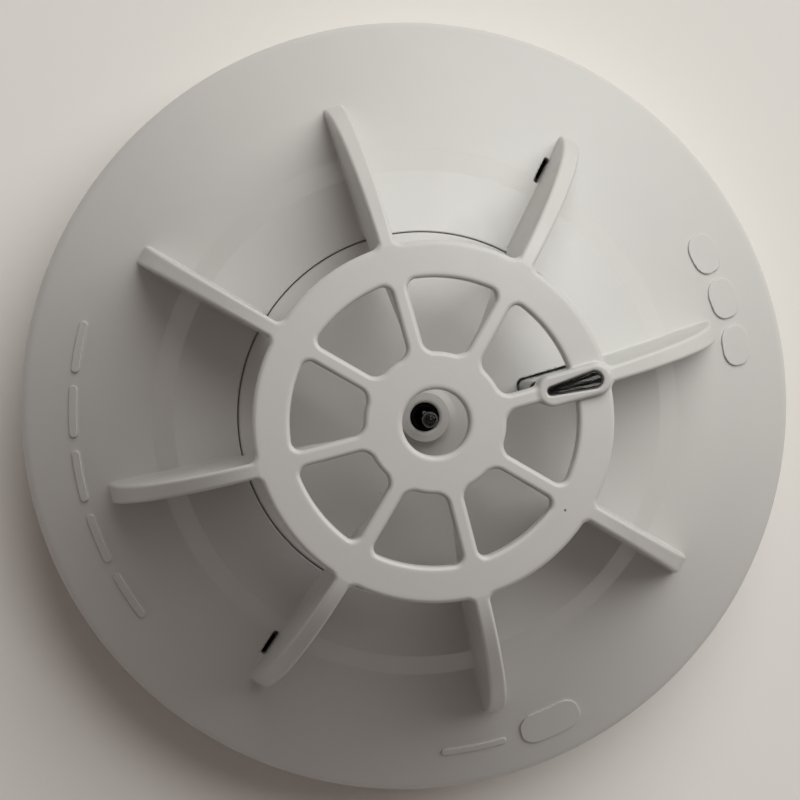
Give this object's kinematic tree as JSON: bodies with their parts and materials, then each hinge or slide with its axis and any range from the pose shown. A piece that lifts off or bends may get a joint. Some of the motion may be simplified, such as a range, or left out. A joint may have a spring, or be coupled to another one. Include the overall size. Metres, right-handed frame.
{
  "type": "heat detector",
  "caption": "Round plug-in heat detector for a ceiling: flared cover, radial fins under a wheel-shaped cage round a glass thermistor, clear alarm light pipe, twist-lock base.",
  "frame": {"origin": "centre of the mounting base's back face, the face that lies against the ceiling", "axes": "+Z out of the sensing face, along the axis that the head twists about; +X towards the fin that carries the alarm light"},
  "size_m": [0.1, 0.1, 0.056],
  "materials": {
    "white_abs": "fine satin moulded texture, warm white",
    "housing_abs": "fine satin moulded texture, warm white",
    "base_abs": "fine satin moulded texture, warm white",
    "clear_acrylic": "clear moulded light pipe",
    "bead_glass": "clear glass capsule round a dark bead",
    "tinned_wire": "tinned copper",
    "led_epoxy": "pale surface-mount package",
    "board_laminate": "green solder mask",
    "black_epoxy": "moulded epoxy",
    "capacitor_sleeve": "shrink sleeve over aluminium can",
    "ceramic": "fired ceramic",
    "nickel_plate": "nickel plated spring bronze",
    "zinc_steel": "zinc plated steel"
  },
  "bodies": {
    "base": {"mounting_base": "base_abs", "terminal_clip_1": "nickel_plate", "terminal_clip_2": "nickel_plate", "terminal_clip_3": "nickel_plate", "terminal_clip_4": "nickel_plate", "clamp_washer_1": "zinc_steel", "clamp_washer_2": "zinc_steel", "clamp_washer_3": "zinc_steel", "clamp_washer_4": "zinc_steel", "terminal_screw_1": "zinc_steel", "terminal_screw_2": "zinc_steel", "terminal_screw_3": "zinc_steel", "terminal_screw_4": "zinc_steel"},
    "head": {"front_cover": "white_abs", "sensor_cone": "white_abs", "rear_housing": "housing_abs", "light_pipe": "clear_acrylic", "circuit_board": "board_laminate", "thermistor_bead": "bead_glass", "thermistor_lead_1": "tinned_wire", "thermistor_lead_2": "tinned_wire", "alarm_led": "led_epoxy", "microcontroller": "black_epoxy", "bridge_rectifier": "black_epoxy", "surge_suppressor": "black_epoxy", "voltage_regulator": "black_epoxy", "crystal_oscillator": "zinc_steel", "storage_capacitor": "capacitor_sleeve", "ceramic_capacitor_1": "ceramic", "ceramic_capacitor_2": "ceramic", "resistor_1": "black_epoxy", "resistor_2": "black_epoxy", "resistor_3": "black_epoxy", "resistor_4": "black_epoxy", "contact_blade_1": "nickel_plate", "contact_blade_2": "nickel_plate", "contact_blade_3": "nickel_plate", "contact_blade_4": "nickel_plate", "contact_screw_1": "zinc_steel", "contact_screw_2": "zinc_steel", "contact_screw_3": "zinc_steel", "contact_screw_4": "zinc_steel", "contact_nut_1": "zinc_steel", "contact_nut_2": "zinc_steel", "contact_nut_3": "zinc_steel", "contact_nut_4": "zinc_steel"}
  },
  "joints": [
    {"name": "head_twist", "type": "hinge", "parent": "base", "child": "head", "pos_m": [0, 0, 0.0104], "axis": [0, 0, 1], "range_deg": [0, 18]}
  ]
}
